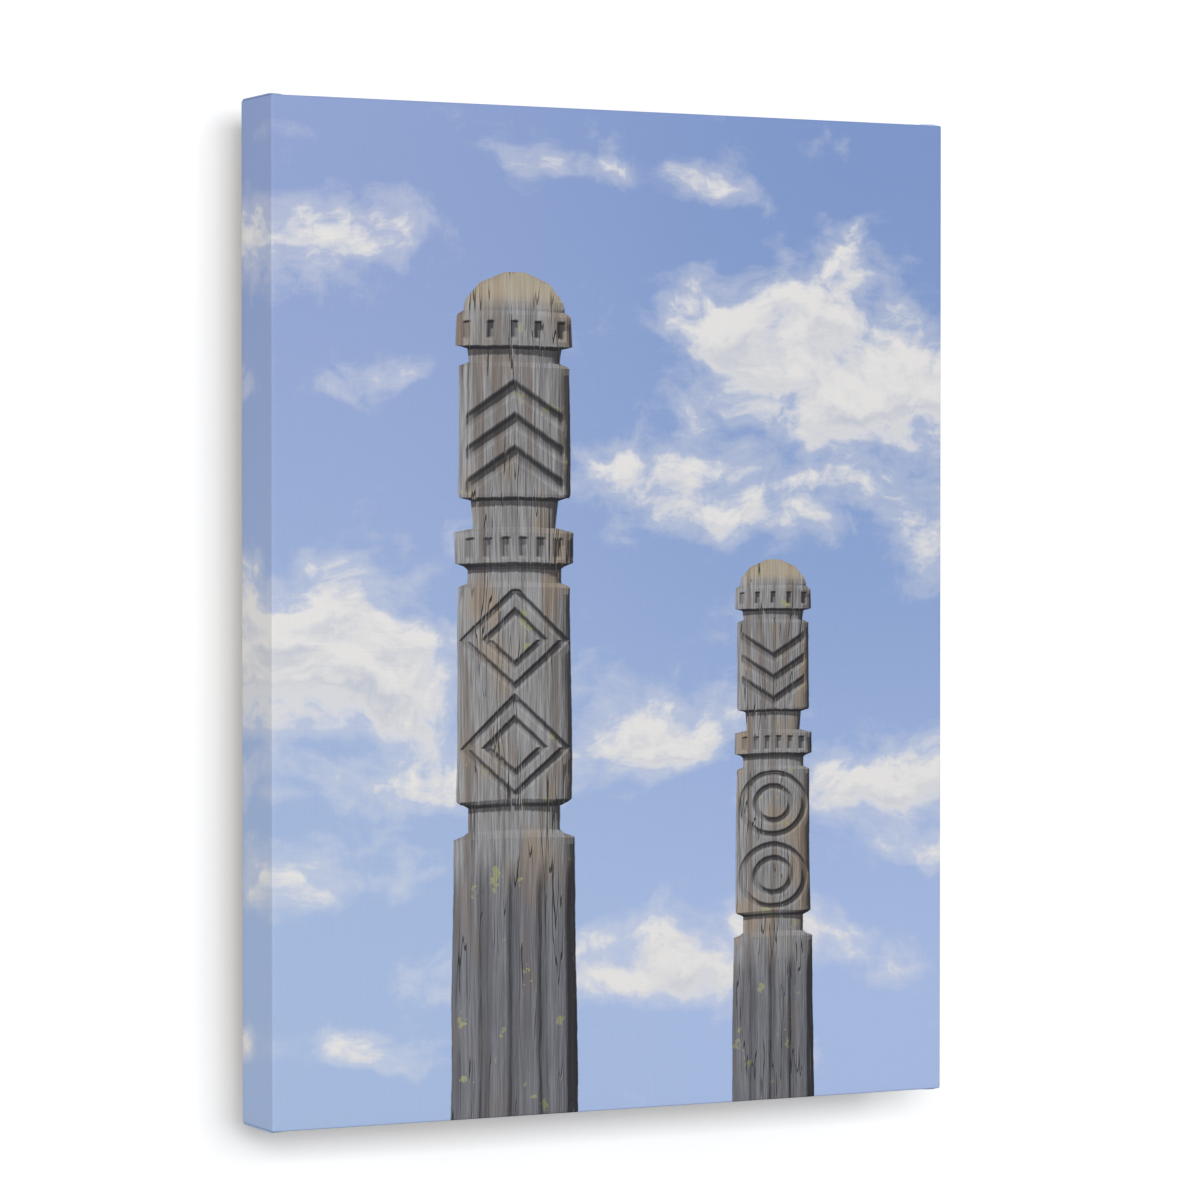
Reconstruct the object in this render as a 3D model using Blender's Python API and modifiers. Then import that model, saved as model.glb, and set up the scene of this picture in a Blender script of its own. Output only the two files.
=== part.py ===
"""Gallery-wrapped canvas print on a mitred pine stretcher frame, with a sawtooth hanger.

Units are metres and +Z is up. The wall is the plane y = 0 and the picture faces -Y. The origin is
the middle of the hanger's rear face, which lies against the wall.
"""
import math

import bmesh
import bpy
from mathutils import Matrix, Vector

# Driving dimensions of the finished print
PRINT_WIDTH = 0.3048
PRINT_HEIGHT = 0.4064
PRINT_DEPTH = 0.03175

# Canvas sheet
CANVAS_THICKNESS = 0.0004
CANVAS_EDGE_RADIUS = 0.0012
FLAP_WIDTH = 0.020
TUCKED_LAYERS = 2
FOLD_SETBACK = 0.0005

# Pine stretcher bars
BAR_WIDTH = 0.038
LIP_WIDTH = 0.006
LIP_ROUND = 0.0022
LIP_HEIGHT = 0.0036
FACE_SLOPE = 0.0012
BAR_INNER_ROUND = 0.0015

# Staples
STAPLE_CROWN = 0.0106
STAPLE_LEG = 0.006
STAPLE_WIRE_THICKNESS = 0.0006
STAPLE_WIRE_WIDTH = 0.0012
STAPLE_BEND_RADIUS = 0.0009
STAPLE_POINT_SLANT = 0.0008
STAPLES_ACROSS = 5
STAPLES_UP = 6
CORNER_STAPLE_INSET = 0.018
SIDE_STAPLE_INSET = 0.045

# Sawtooth hanger, a pressed strip with a raised bridge between two nailed tabs
HANGER_LENGTH = 0.0445
HANGER_HEIGHT = 0.0100
HANGER_PLATE = 0.0008
HANGER_STAND_OFF = 0.0031
HANGER_TAB_LENGTH = 0.0070
HANGER_RAMP_LENGTH = 0.0024
HANGER_CORNER_RADIUS = 0.0016
TOOTH_PITCH = 0.0023
TOOTH_DEPTH = 0.0015
TOOTH_FLAT = 0.0002

# Hanger nails
NAIL_HEAD_RADIUS = 0.0019
NAIL_HEAD_FLAT_RADIUS = 0.0015
NAIL_HEAD_THICKNESS = 0.0007
NAIL_SHANK_RADIUS = 0.00075
NAIL_LENGTH = 0.0120
NAIL_POINT_LENGTH = 0.0020

# Clearances
TOUCHING_GAP = 0.0003
MITRE_GAP = 0.0003
FASTENER_CLEARANCE = 0.0003
HOLE_MARGIN = 0.0010

# Smoothness of the round stretches
EDGE_STEPS = 3
BAR_ROUND_STEPS = 4
NAIL_STEPS = 16
ROUND_PROFILE = 0.5
SQUARE_FACE = 0.999
MERGE_DISTANCE = 0.00001

# Places that follow from the dimensions
SHEET_ALLOWANCE = CANVAS_THICKNESS + TOUCHING_GAP
BAR_BACK = -HANGER_STAND_OFF
PRINT_BACK = BAR_BACK + SHEET_ALLOWANCE
PRINT_FRONT = PRINT_BACK - PRINT_DEPTH
PRINT_TOP = (FLAP_WIDTH + SHEET_ALLOWANCE + BAR_WIDTH) / 2
PRINT_BOTTOM = PRINT_TOP - PRINT_HEIGHT
PRINT_MIDDLE = (PRINT_TOP + PRINT_BOTTOM) / 2
FRAME_WIDTH = PRINT_WIDTH - 2 * SHEET_ALLOWANCE
FRAME_HEIGHT = PRINT_HEIGHT - 2 * SHEET_ALLOWANCE
BAR_DEPTH = PRINT_DEPTH - 2 * SHEET_ALLOWANCE
BAR_EDGE_RADIUS = CANVAS_EDGE_RADIUS - SHEET_ALLOWANCE
FOLD_HEIGHT = TUCKED_LAYERS * CANVAS_THICKNESS

# The canvas's way round an edge: the flat of the side, the bend at the back, the flap
SIDE_RUN = PRINT_DEPTH - 2 * CANVAS_EDGE_RADIUS
BEND_RUN = CANVAS_EDGE_RADIUS * math.pi / 2
FLAP_RUN = FLAP_WIDTH - CANVAS_EDGE_RADIUS

# Finishes as (colour, roughness, metallic)
PRINTED_CANVAS = ((0.56, 0.64, 0.80), 0.60, 0.0)
PLANED_PINE = ((0.72, 0.55, 0.36), 0.65, 0.0)
ZINC_WIRE = ((0.62, 0.63, 0.65), 0.35, 1.0)
PLATED_STEEL = ((0.66, 0.66, 0.64), 0.32, 1.0)
BRIGHT_NAIL = ((0.60, 0.60, 0.58), 0.40, 1.0)

PARTS_NAME = "stretched_canvas_print"
CUTTERS_NAME = "cutters"


def clear_scene():
    for obj in list(bpy.data.objects):
        bpy.data.objects.remove(obj, do_unlink=True)


def add_collection(name):
    collection = bpy.data.collections.new(name)
    bpy.context.scene.collection.children.link(collection)
    return collection


def add_material(name, finish):
    colour, roughness, metallic = finish
    material = bpy.data.materials.new(name)
    material.use_nodes = True
    shader = material.node_tree.nodes["Principled BSDF"]
    shader.inputs["Base Color"].default_value = (*colour, 1.0)
    shader.inputs["Roughness"].default_value = roughness
    shader.inputs["Metallic"].default_value = metallic
    material.diffuse_color = (*colour, 1.0)
    return material


def add_object(name, data, collection, material=None):
    obj = bpy.data.objects.new(name, data)
    collection.objects.link(obj)
    if material and not data.materials:
        data.materials.append(material)
    return obj


def add_cutter(name, mesh, collection):
    cutter = add_object(name, mesh, collection)
    cutter.hide_render = True
    cutter.display_type = "WIRE"
    return cutter


def mesh_from(bm, name):
    bmesh.ops.recalc_face_normals(bm, faces=bm.faces[:])
    mesh = bpy.data.meshes.new(name)
    bm.to_mesh(mesh)
    bm.free()
    return mesh


def shade_round_stretches(mesh):
    """Smooth shading on the rounded stretches, flat on the faces that lie square to an axis."""
    for polygon in mesh.polygons:
        polygon.use_smooth = max(abs(part) for part in polygon.normal) < SQUARE_FACE


def add_boolean(obj, name, operation, other):
    modifier = obj.modifiers.new(name, "BOOLEAN")
    modifier.operation = operation
    modifier.object = other
    return modifier


def arc(centre, radius, start, end, steps):
    """Points of an arc from angle start to angle end, in degrees, both ends included."""
    angles = [math.radians(start + (end - start) * i / steps) for i in range(steps + 1)]
    return [(centre[0] + radius * math.cos(a), centre[1] + radius * math.sin(a)) for a in angles]


def bar_profile():
    """Bar section as (distance in from the outer face, y), from the outer back corner round."""
    front = BAR_BACK - BAR_DEPTH
    edge = BAR_EDGE_RADIUS
    lip_foot = front + LIP_HEIGHT
    inner_face = lip_foot + FACE_SLOPE
    points = arc((edge, BAR_BACK - edge), edge, 90, 180, EDGE_STEPS)
    points += arc((edge, front + edge), edge, 180, 270, EDGE_STEPS)
    points += arc((LIP_WIDTH - LIP_ROUND, front + LIP_ROUND), LIP_ROUND, 270, 360, BAR_ROUND_STEPS)
    points += [(LIP_WIDTH, lip_foot)]
    points += arc((BAR_WIDTH - BAR_INNER_ROUND, inner_face + BAR_INNER_ROUND), BAR_INNER_ROUND,
                  270, 360, BAR_ROUND_STEPS)
    points += arc((BAR_WIDTH - edge, BAR_BACK - edge), edge, 0, 90, EDGE_STEPS)
    return points


def mitred_bar_mesh(name, length):
    """Bar along X with its outer face at z = 0, cut at 45 degrees at both ends."""
    bm = bmesh.new()
    outline = [bm.verts.new((-length / 2, y, -inset)) for inset, y in bar_profile()]
    end_face = bm.faces.new(outline)
    grown = bmesh.ops.extrude_face_region(bm, geom=[end_face], use_keep_orig=True)
    far_end = [item for item in grown["geom"] if isinstance(item, bmesh.types.BMVert)]
    bmesh.ops.translate(bm, verts=far_end, vec=(length, 0, 0))
    for side in (-1, 1):
        inward = Vector((-side, 0, 1)).normalized()
        corner = Vector((side * length / 2, 0, 0))
        cut = bmesh.ops.bisect_plane(bm, geom=bm.verts[:] + bm.edges[:] + bm.faces[:],
                                     plane_co=corner + inward * MITRE_GAP / 2,
                                     plane_no=inward, clear_inner=True)
        rim = [item for item in cut["geom_cut"] if isinstance(item, bmesh.types.BMEdge)]
        bmesh.ops.contextual_create(bm, geom=rim)
    return mesh_from(bm, name)


def make_bars(collection, leg_holes, nail_holes):
    half_width = FRAME_WIDTH / 2
    half_height = FRAME_HEIGHT / 2
    places = {
        "top": (0, FRAME_WIDTH, (0, 0, PRINT_MIDDLE + half_height)),
        "right": (90, FRAME_HEIGHT, (half_width, 0, PRINT_MIDDLE)),
        "bottom": (180, FRAME_WIDTH, (0, 0, PRINT_MIDDLE - half_height)),
        "left": (270, FRAME_HEIGHT, (-half_width, 0, PRINT_MIDDLE)),
    }
    for side, (turn, length, place) in places.items():
        name = f"stretcher_bar_{side}"
        pine = add_material(f"pine_{side}", PLANED_PINE)
        mesh = mitred_bar_mesh(name, length)
        shade_round_stretches(mesh)
        bar = add_object(name, mesh, collection, pine)
        bar.location = place
        bar.rotation_euler = (0, math.radians(turn), 0)
        add_boolean(bar, "staple leg holes", "DIFFERENCE", leg_holes)
        if side == "top":
            add_boolean(bar, "nail holes", "DIFFERENCE", nail_holes)


def canvas_pan_mesh():
    """Outer surface of the canvas: a rounded box, open at the back inside the flap."""
    bm = bmesh.new()
    size = Matrix.Diagonal((PRINT_WIDTH, PRINT_DEPTH, PRINT_HEIGHT, 1))
    middle = Matrix.Translation((0, (PRINT_FRONT + PRINT_BACK) / 2, PRINT_MIDDLE))
    bmesh.ops.create_cube(bm, size=1, matrix=middle @ size)
    bmesh.ops.bevel(bm, geom=bm.edges[:], offset=CANVAS_EDGE_RADIUS, segments=EDGE_STEPS,
                    profile=ROUND_PROFILE, affect="EDGES")
    bm.normal_update()
    back = max(bm.faces, key=lambda face: face.normal.y * face.calc_area())
    bmesh.ops.inset_region(bm, faces=[back], thickness=FLAP_RUN)
    bmesh.ops.delete(bm, geom=[back], context="FACES")
    return mesh_from(bm, "canvas")


def fold_rows():
    """Rows of a corner fold as (way along the wrap from the front edge, width of the fold).

    The tucked ear is a right triangle on the side, whose slant starts at the front corner. On
    the back it is trimmed to the flap's width. It stops a little short of the front and of the
    raw edge, and its rows in the bend lie between those of the canvas under it.
    """
    lead = BEND_RUN / 2
    rows = [(FOLD_SETBACK, 0), (SIDE_RUN - lead, SIDE_RUN - lead)]
    rows += [(SIDE_RUN + BEND_RUN * (i + 0.5) / EDGE_STEPS, SIDE_RUN) for i in range(EDGE_STEPS)]
    rows += [(SIDE_RUN + BEND_RUN + lead, SIDE_RUN - lead)]
    rows += [(SIDE_RUN + BEND_RUN + FLAP_RUN - FOLD_SETBACK, FLAP_RUN)]
    return rows


def wrap_point(way, lift):
    """(y, z) of a point on the top side and back, at a way along the wrap and a lift above it."""
    radius = CANVAS_EDGE_RADIUS
    turn = min(max(way - SIDE_RUN, 0), BEND_RUN) / radius
    y = PRINT_FRONT + radius + min(way, SIDE_RUN) + (radius + lift) * math.sin(turn)
    z = PRINT_TOP - radius + (radius + lift) * math.cos(turn)
    return y, z - max(way - SIDE_RUN - BEND_RUN, 0)


def corner_folds_mesh():
    """The canvas layers tucked under the top and bottom sides at the four corners, as slabs.

    Each slab is cut out flat, thickened, and wrapped round the back edge. Its underside lies
    halfway into the canvas, which it is joined to.
    """
    rows = fold_rows()
    levels = (-CANVAS_THICKNESS / 2, FOLD_HEIGHT)
    crease = PRINT_WIDTH / 2 - CANVAS_EDGE_RADIUS - FOLD_SETBACK
    folds = bmesh.new()
    for side in (-1, 1):
        for end in (-1, 1):
            bm = bmesh.new()
            bmesh.ops.create_grid(bm, x_segments=1, y_segments=len(rows) - 1, size=1)
            grown = bmesh.ops.extrude_face_region(bm, geom=bm.faces[:], use_keep_orig=True)
            upper = [item for item in grown["geom"] if isinstance(item, bmesh.types.BMVert)]
            bmesh.ops.translate(bm, verts=upper, vec=(0, 0, 1))
            for vert in bm.verts:
                way, width = rows[round((vert.co.y + 1) / 2 * (len(rows) - 1))]
                y, z = wrap_point(way, levels[round(vert.co.z)])
                across = crease - width * (vert.co.x + 1) / 2
                vert.co = (side * across, y, PRINT_MIDDLE + end * (z - PRINT_MIDDLE))
            bmesh.ops.remove_doubles(bm, verts=bm.verts[:], dist=MERGE_DISTANCE)
            bmesh.ops.triangulate(bm, faces=bm.faces[:])
            piece = mesh_from(bm, "corner_fold")
            folds.from_mesh(piece)
            bpy.data.meshes.remove(piece)
    return mesh_from(folds, "corner_folds")


def make_canvas(collection, cutters, leg_holes):
    sheet = add_material("printed canvas", PRINTED_CANVAS)
    mesh = canvas_pan_mesh()
    shade_round_stretches(mesh)
    canvas = add_object("canvas", mesh, collection, sheet)
    shell = canvas.modifiers.new("sheet thickness", "SOLIDIFY")
    shell.thickness = CANVAS_THICKNESS
    shell.offset = -1
    shell.use_even_offset = True
    folds = add_cutter("corner_folds", corner_folds_mesh(), cutters)
    add_boolean(canvas, "corner folds", "UNION", folds)
    add_boolean(canvas, "staple leg holes", "DIFFERENCE", leg_holes)


def spread(middle, reach, count):
    """Evenly spaced places from middle - reach to middle + reach, both included."""
    return [middle + reach * (2 * i / (count - 1) - 1) for i in range(count)]


def staple_places():
    """Each staple's name, the middle of its crown in x and z, its turn, and its seat's lift."""
    row = FLAP_WIDTH / 2
    reach_x = PRINT_WIDTH / 2 - CORNER_STAPLE_INSET
    reach_z = PRINT_HEIGHT / 2 - SIDE_STAPLE_INSET
    across = spread(0, reach_x, STAPLES_ACROSS)
    up = spread(PRINT_MIDDLE, reach_z, STAPLES_UP)
    places = []
    for side, z in (("top", PRINT_TOP - row), ("bottom", PRINT_BOTTOM + row)):
        for number, x in enumerate(across, start=1):
            lift = FOLD_HEIGHT if number in (1, STAPLES_ACROSS) else 0
            places.append((f"staple_{side}_{number}", x, z, 0, lift))
    for side, x in (("left", row - PRINT_WIDTH / 2), ("right", PRINT_WIDTH / 2 - row)):
        for number, z in enumerate(up, start=1):
            places.append((f"staple_{side}_{number}", x, z, 90, 0))
    return places


def staple_outline():
    """Staple seen side on: crown along X above y = 0, legs down to the slanted points."""
    outer = STAPLE_CROWN / 2
    inner = outer - STAPLE_WIRE_THICKNESS
    top = STAPLE_WIRE_THICKNESS
    bend = STAPLE_BEND_RADIUS
    inner_bend = bend - STAPLE_WIRE_THICKNESS
    right = arc((inner - inner_bend, -inner_bend), inner_bend, 90, 0, EDGE_STEPS)
    right += [(inner, STAPLE_POINT_SLANT - STAPLE_LEG), (outer, -STAPLE_LEG)]
    right += arc((outer - bend, top - bend), bend, 0, 90, EDGE_STEPS)
    left = [(-x, y) for x, y in reversed(right)]
    return right + left


def staple_curve():
    curve = bpy.data.curves.new("staple", "CURVE")
    curve.dimensions = "2D"
    curve.fill_mode = "BOTH"
    curve.extrude = STAPLE_WIRE_WIDTH / 2
    points = staple_outline()
    spline = curve.splines.new("POLY")
    spline.points.add(len(points) - 1)
    for point, (x, y) in zip(spline.points, points):
        point.co = (x, y, 0, 1)
    spline.use_cyclic_u = True
    return curve


def make_staples(collection):
    curve = staple_curve()
    zinc = add_material("zinc wire", ZINC_WIRE)
    for name, x, z, turn, lift in staple_places():
        staple = add_object(name, curve, collection, zinc)
        staple.location = (x, PRINT_BACK + lift + TOUCHING_GAP, z)
        staple.rotation_euler = (0, math.radians(turn), 0)


def leg_holes_mesh():
    """One square hole for each staple leg, through the canvas and into the bar."""
    bm = bmesh.new()
    leg_middle = (STAPLE_CROWN - STAPLE_WIRE_THICKNESS) / 2
    across = STAPLE_WIRE_THICKNESS + 2 * FASTENER_CLEARANCE
    wide = STAPLE_WIRE_WIDTH + 2 * FASTENER_CLEARANCE
    for _name, x, z, turn, lift in staple_places():
        seat = PRINT_BACK + lift + TOUCHING_GAP
        deep_end = seat - STAPLE_LEG - FASTENER_CLEARANCE
        open_end = seat + HOLE_MARGIN
        size = Matrix.Diagonal((across, open_end - deep_end, wide, 1))
        middle = Matrix.Translation((x, (open_end + deep_end) / 2, z))
        turned = Matrix.Rotation(math.radians(turn), 4, "Y")
        for side in (-1, 1):
            leg = Matrix.Translation((side * leg_middle, 0, 0))
            bmesh.ops.create_cube(bm, size=1, matrix=middle @ turned @ leg @ size)
    return mesh_from(bm, "staple_leg_holes")


def tab_face():
    """y of the hanger tabs' rear face, where the nail heads seat."""
    return BAR_BACK + TOUCHING_GAP + HANGER_PLATE


def nail_places():
    reach = (HANGER_LENGTH - HANGER_TAB_LENGTH) / 2
    return {"left": -reach, "right": reach}


def hanger_strip_mesh():
    """Rear face of the bent strip: tab, ramp, bridge, ramp and tab, with rounded tab corners."""
    bm = bmesh.new()
    end = HANGER_LENGTH / 2
    foot = end - HANGER_TAB_LENGTH
    bridge = foot - HANGER_RAMP_LENGTH
    tab = tab_face()
    bends = [(-end, tab), (-foot, tab), (-bridge, 0), (bridge, 0), (foot, tab), (end, tab)]
    lower = [bm.verts.new((x, y, -HANGER_HEIGHT / 2)) for x, y in bends]
    edges = [bm.edges.new(pair) for pair in zip(lower, lower[1:])]
    grown = bmesh.ops.extrude_edge_only(bm, edges=edges)
    upper = [item for item in grown["geom"] if isinstance(item, bmesh.types.BMVert)]
    bmesh.ops.translate(bm, verts=upper, vec=(0, 0, HANGER_HEIGHT))
    corners = [vert for vert in bm.verts if abs(abs(vert.co.x) - end) < MERGE_DISTANCE]
    bmesh.ops.bevel(bm, geom=corners, offset=HANGER_CORNER_RADIUS, segments=EDGE_STEPS,
                    profile=ROUND_PROFILE, affect="VERTICES")
    bm.normal_update()
    for face in bm.faces:
        if face.normal.y < 0:
            face.normal_flip()
    mesh = bpy.data.meshes.new("hanger")
    bm.to_mesh(mesh)
    bm.free()
    return mesh


def teeth_cutter_mesh():
    """The gaps between the teeth: one zigzag bar across the bridge's lower edge."""
    bm = bmesh.new()
    flat = HANGER_LENGTH / 2 - HANGER_TAB_LENGTH - HANGER_RAMP_LENGTH
    count = int((2 * flat - TOOTH_PITCH) / TOOTH_PITCH)
    low = -HANGER_HEIGHT / 2 - HOLE_MARGIN
    root = -HANGER_HEIGHT / 2 + TOOTH_DEPTH
    tip = -HANGER_HEIGHT / 2 - TOOTH_FLAT
    start = -count * TOOTH_PITCH / 2
    zigzag = [(start + i * TOOTH_PITCH / 2, root if i % 2 else tip) for i in range(2 * count + 1)]
    outline = [(start, low)] + zigzag + [(-start, low)]
    face = bm.faces.new([bm.verts.new((x, -HANGER_STAND_OFF, z)) for x, z in outline])
    grown = bmesh.ops.extrude_face_region(bm, geom=[face], use_keep_orig=True)
    far_side = [item for item in grown["geom"] if isinstance(item, bmesh.types.BMVert)]
    bmesh.ops.translate(bm, verts=far_side, vec=(0, HANGER_STAND_OFF + HOLE_MARGIN, 0))
    return mesh_from(bm, "hanger_teeth")


def nail_holes_mesh():
    bm = bmesh.new()
    deep_end = tab_face() + TOUCHING_GAP - NAIL_LENGTH - FASTENER_CLEARANCE
    radius = NAIL_SHANK_RADIUS + FASTENER_CLEARANCE
    along_y = Matrix.Rotation(math.radians(-90), 4, "X")
    for x in nail_places().values():
        middle = Matrix.Translation((x, (deep_end + HOLE_MARGIN) / 2, 0))
        bmesh.ops.create_cone(bm, cap_ends=True, segments=NAIL_STEPS, radius1=radius,
                              radius2=radius, depth=HOLE_MARGIN - deep_end,
                              matrix=middle @ along_y)
    return mesh_from(bm, "nail_holes")


def make_hanger(collection, cutters, nail_holes):
    steel = add_material("zinc plated steel", PLATED_STEEL)
    hanger = add_object("hanger", hanger_strip_mesh(), collection, steel)
    shell = hanger.modifiers.new("plate thickness", "SOLIDIFY")
    shell.thickness = HANGER_PLATE
    shell.offset = -1
    shell.use_even_offset = True
    teeth = add_cutter("hanger_teeth", teeth_cutter_mesh(), cutters)
    add_boolean(hanger, "teeth", "DIFFERENCE", teeth)
    add_boolean(hanger, "nail holes", "DIFFERENCE", nail_holes)


def nail_profile_mesh():
    """Half section of a nail whose head sits on z = 0 with its shank below, top to bottom."""
    mesh = bpy.data.meshes.new("hanger_nail")
    points = [
        (0, NAIL_HEAD_THICKNESS),
        (NAIL_HEAD_FLAT_RADIUS, NAIL_HEAD_THICKNESS),
        (NAIL_HEAD_RADIUS, NAIL_HEAD_THICKNESS / 2),
        (NAIL_HEAD_RADIUS, 0),
        (NAIL_SHANK_RADIUS, 0),
        (NAIL_SHANK_RADIUS, NAIL_POINT_LENGTH - NAIL_LENGTH),
        (0, -NAIL_LENGTH),
    ]
    edges = [(i, i + 1) for i in range(len(points) - 1)]
    mesh.from_pydata([(x, 0, z) for x, z in points], edges, [])
    return mesh


def make_nails(collection):
    mesh = nail_profile_mesh()
    steel = add_material("bright nail steel", BRIGHT_NAIL)
    for side, x in nail_places().items():
        nail = add_object(f"hanger_nail_{side}", mesh, collection, steel)
        nail.location = (x, tab_face() + TOUCHING_GAP, 0)
        nail.rotation_euler = (math.radians(-90), 0, 0)
        turned = nail.modifiers.new("turned", "SCREW")
        turned.axis = "Z"
        turned.angle = math.tau
        turned.screw_offset = 0
        turned.steps = NAIL_STEPS
        turned.render_steps = NAIL_STEPS
        turned.use_merge_vertices = True
        turned.merge_threshold = MERGE_DISTANCE


def main():
    clear_scene()
    parts = add_collection(PARTS_NAME)
    cutters = add_collection(CUTTERS_NAME)
    leg_holes = add_cutter("staple_leg_holes", leg_holes_mesh(), cutters)
    nail_holes = add_cutter("nail_holes", nail_holes_mesh(), cutters)
    make_canvas(parts, cutters, leg_holes)
    make_bars(parts, leg_holes, nail_holes)
    make_staples(parts)
    make_hanger(parts, cutters, nail_holes)
    make_nails(parts)


main()
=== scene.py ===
# Looks of the stretched canvas print: the printed canvas as one folded sheet with a frayed edge,
# pine bars, staples and a sawtooth hanger, in front of a plain white wall.
import math
import random

import bmesh
import bpy
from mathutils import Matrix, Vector, noise


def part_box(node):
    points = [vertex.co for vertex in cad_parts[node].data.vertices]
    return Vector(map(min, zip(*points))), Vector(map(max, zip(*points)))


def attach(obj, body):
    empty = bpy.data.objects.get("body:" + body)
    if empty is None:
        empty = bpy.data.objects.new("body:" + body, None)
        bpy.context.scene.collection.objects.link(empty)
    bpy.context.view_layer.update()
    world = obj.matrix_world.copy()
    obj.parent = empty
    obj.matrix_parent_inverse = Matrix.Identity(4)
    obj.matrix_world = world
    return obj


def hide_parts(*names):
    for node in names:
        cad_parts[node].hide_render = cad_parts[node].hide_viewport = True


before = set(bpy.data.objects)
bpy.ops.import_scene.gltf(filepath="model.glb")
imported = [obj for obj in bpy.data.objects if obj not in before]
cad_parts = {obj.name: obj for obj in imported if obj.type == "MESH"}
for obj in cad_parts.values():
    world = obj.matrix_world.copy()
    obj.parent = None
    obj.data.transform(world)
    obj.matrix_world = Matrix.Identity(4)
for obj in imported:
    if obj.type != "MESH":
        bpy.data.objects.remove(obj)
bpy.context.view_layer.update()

# The canvas: its layers, bends and folds, in metres
CANVAS_THICKNESS = 0.0004
SHEET_THICKNESS = 0.00036
FOLD_HEIGHT = 2 * CANVAS_THICKNESS
EDGE_RADIUS = 0.0008
FLAP_RUN = 0.0192
CREASE_SETBACK = 0.0007
FOLD_GAP = 0.00002
FOLD_START = 0.004
FOLD_SLOPE = 0.0035
INK_RUN = 0.0046

# How the flap lies between its staples, and how its raw edge wanders, in metres. A ripple is given
# as its noise's scale and its height.
STAPLE_REACH = 0.0053
PRESSED_REACH = 0.0034
PRESSED_HEIGHT = 0.00024
FLAP_LIFT = 0.00040
LEAST_LIFT = 0.00005
LIFT_START = 0.0035
SWELL = (45, 0.00030)
PUCKER = (300, 0.00045)
CURL = (70, 0.0009)
WANDER = (22, 0.0011)
SNIPS = (160, 0.00025)
DRAWN_OUT = 0.0007
STAPLE_PULL_REACH = 0.012
UNDER_FLAP = (0.001, 0.006)

# How far the taut front sags, and how far in from the edges that starts and is full
SAG = 0.00016
SAG_WAVES = 9
SAG_INSETS = (0.004, 0.045)

CANVAS_LOW, CANVAS_HIGH = (Vector(corner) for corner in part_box("canvas"))
HALF_WIDTH = CANVAS_HIGH.x
HALF_HEIGHT = (CANVAS_HIGH.z - CANVAS_LOW.z) / 2 - FOLD_HEIGHT
PRINT_MIDDLE = (CANVAS_HIGH.z + CANVAS_LOW.z) / 2
PRINT_FRONT = CANVAS_LOW.y
PRINT_BACK = CANVAS_HIGH.y - FOLD_HEIGHT
PRINT_DEPTH = PRINT_BACK - PRINT_FRONT

# Where the bends start, and how long each stretch of the cloth's way round a bar is
BEND_X = HALF_WIDTH - EDGE_RADIUS
BEND_Z = HALF_HEIGHT - EDGE_RADIUS
BEND_RUN = EDGE_RADIUS * math.pi / 2
SIDE_RUN = PRINT_DEPTH - 2 * EDGE_RADIUS
BACK_BEND_WAY = BEND_RUN + SIDE_RUN
FLAP_WAY = BACK_BEND_WAY + BEND_RUN
WHOLE_WAY = FLAP_WAY + FLAP_RUN

# How finely the sheet is meshed
BEND_STEPS = 6
SIDE_ROWS = 12
FLAP_ROWS = 14
CREASE_STEPS = 4
LAYER_COLUMNS = 8
WIDE_PITCH = 0.0052
CORNER_PITCH = 0.0019
CORNER_REACH = 0.034
LEAST_PITCH = 0.001
STEP_SLACK = 0.001
STAPLE_MARKS = (-0.0078, -0.0053, -0.0027, 0.0, 0.0027, 0.0053, 0.0078)
ROW_GRADING = 1.6
MERGE_DISTANCE = 0.000002

# The camera, fitted to the print's six visible corners in the photograph
CAMERA_YAW = math.radians(26.78)
CAMERA_PITCH = math.radians(-0.94)
CAMERA_DISTANCE = 1.837
CAMERA_TARGET = Vector((0.00723, -0.0024, -0.16995))
CAMERA_LENS = 133.2
SENSOR_WIDTH = 36


def linear(value):
    """A colour value of 0 to 255 as linear light."""
    share = value / 255
    return share / 12.92 if share <= 0.04045 else ((share + 0.055) / 1.055) ** 2.4


def ink(red, green, blue):
    """A colour in linear light from its values of 0 to 255."""
    return (linear(red), linear(green), linear(blue), 1.0)


def eased(value, low, high):
    """0 to 1 as value goes from low to high, with a soft start and end."""
    share = min(max((value - low) / (high - low), 0.0), 1.0)
    return share * share * (3 - 2 * share)


def between(low, high, share):
    return low + (high - low) * share


# Where the sheet lies

def round_the_bar(way, height):
    """How far out past the bend's start and how far back from the front the sheet is after this way
    round a bar, at this height off its first layer."""
    reach = EDGE_RADIUS + height
    if way <= BEND_RUN:
        turn = way / EDGE_RADIUS
        return reach * math.sin(turn), EDGE_RADIUS - reach * math.cos(turn)
    if way <= BACK_BEND_WAY:
        return reach, EDGE_RADIUS + way - BEND_RUN
    if way <= FLAP_WAY:
        turn = (way - BACK_BEND_WAY) / EDGE_RADIUS
        return reach * math.cos(turn), PRINT_DEPTH - EDGE_RADIUS + reach * math.sin(turn)
    return FLAP_WAY - way, PRINT_DEPTH + height


def fold_rise(way):
    """How far the corner fold has risen, 0 at the front corner and 1 from a few millimetres on."""
    return eased(way, BEND_RUN, BEND_RUN + FOLD_START)


def fold_line(way):
    """How far from the middle the diagonal crease of the corner fold lies."""
    if way <= BACK_BEND_WAY:
        share = max(way - BEND_RUN, 0.0) / SIDE_RUN
        return between(BEND_X, HALF_WIDTH - SIDE_RUN, share)
    share = max(way - FLAP_WAY, 0.0) / FLAP_RUN
    return HALF_WIDTH - between(SIDE_RUN, FLAP_RUN, min(share, 1.0))


def fold_end(way):
    """How far from the middle the outer layer of the corner fold turns under."""
    rise = fold_rise(way)
    outermost = between(BEND_X, HALF_WIDTH - CREASE_SETBACK, rise)
    return outermost - crease_radius(rise)


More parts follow.
